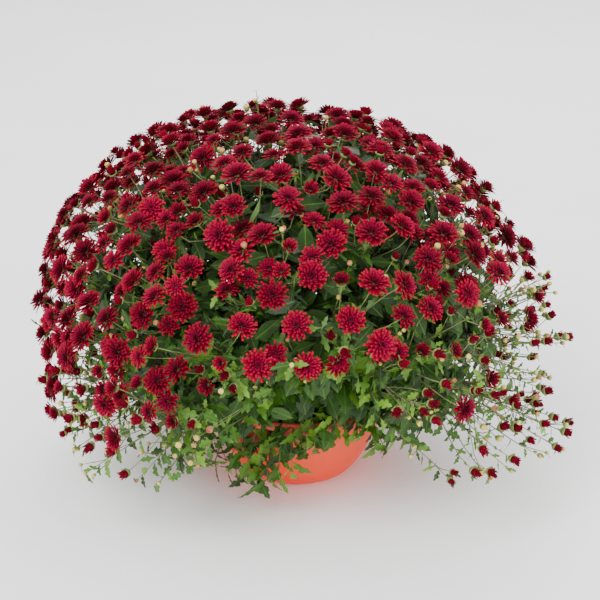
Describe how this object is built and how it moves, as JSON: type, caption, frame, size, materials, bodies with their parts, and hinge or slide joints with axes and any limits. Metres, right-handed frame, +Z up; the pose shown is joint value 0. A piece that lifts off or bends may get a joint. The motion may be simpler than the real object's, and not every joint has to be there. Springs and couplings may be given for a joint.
{
  "type": "pot chrysanthemum",
  "caption": "Bushy pot chrysanthemum: a low dome of dark red double blooms and buds over lobed green leaves, grown on a short woody trunk in a round plastic bowl.",
  "frame": {"origin": "middle of the bowl's flat underside, on the surface the plant stands on", "axes": "+Z up along the trunk, -Y towards the viewer of the picture, +X to the viewer's right"},
  "size_m": [0.5827, 0.5713, 0.4238],
  "materials": {
    "bowl_plastic": "satin",
    "peat": "matte",
    "woody_stem": "matte",
    "leaf_green": "matte",
    "petal_red": "matte"
  },
  "bodies": {
    "root": {"bowl": "bowl_plastic", "flower_spray_01": "petal_red", "flower_spray_02": "petal_red", "flower_spray_03": "petal_red", "flower_spray_04": "petal_red", "flower_spray_05": "petal_red", "flower_spray_06": "petal_red", "flower_spray_07": "petal_red", "flower_spray_08": "petal_red", "flower_spray_09": "petal_red", "flower_spray_10": "petal_red", "flower_spray_11": "petal_red", "flower_spray_12": "petal_red", "flower_spray_13": "petal_red", "flower_spray_14": "petal_red", "flower_spray_15": "petal_red", "flower_spray_16": "petal_red", "flower_spray_17": "petal_red", "flower_spray_18": "petal_red", "flower_spray_19": "petal_red", "flower_spray_20": "petal_red", "flower_spray_21": "petal_red", "flower_spray_22": "petal_red", "flower_spray_23": "petal_red", "flower_spray_24": "petal_red", "flower_spray_25": "petal_red", "flower_spray_26": "petal_red", "flower_spray_27": "petal_red", "flower_spray_28": "petal_red", "flower_spray_29": "petal_red", "flower_spray_30": "petal_red", "flower_spray_31": "petal_red", "flower_spray_32": "petal_red", "flower_spray_33": "petal_red", "flower_spray_34": "petal_red", "flower_spray_35": "petal_red", "flower_spray_36": "petal_red", "flower_spray_37": "petal_red", "flower_spray_38": "petal_red", "flower_spray_39": "petal_red", "flower_spray_40": "petal_red", "flower_spray_41": "petal_red", "flower_spray_42": "petal_red", "flower_spray_43": "petal_red", "flower_spray_44": "petal_red", "flower_spray_45": "petal_red", "flower_spray_46": "petal_red", "flower_spray_47": "petal_red", "flower_spray_48": "petal_red", "flower_spray_49": "petal_red", "flower_spray_51": "petal_red", "flower_spray_52": "petal_red", "leafy_stems": "leaf_green", "soil": "peat", "woody_trunk": "woody_stem"}
  },
  "joints": []
}
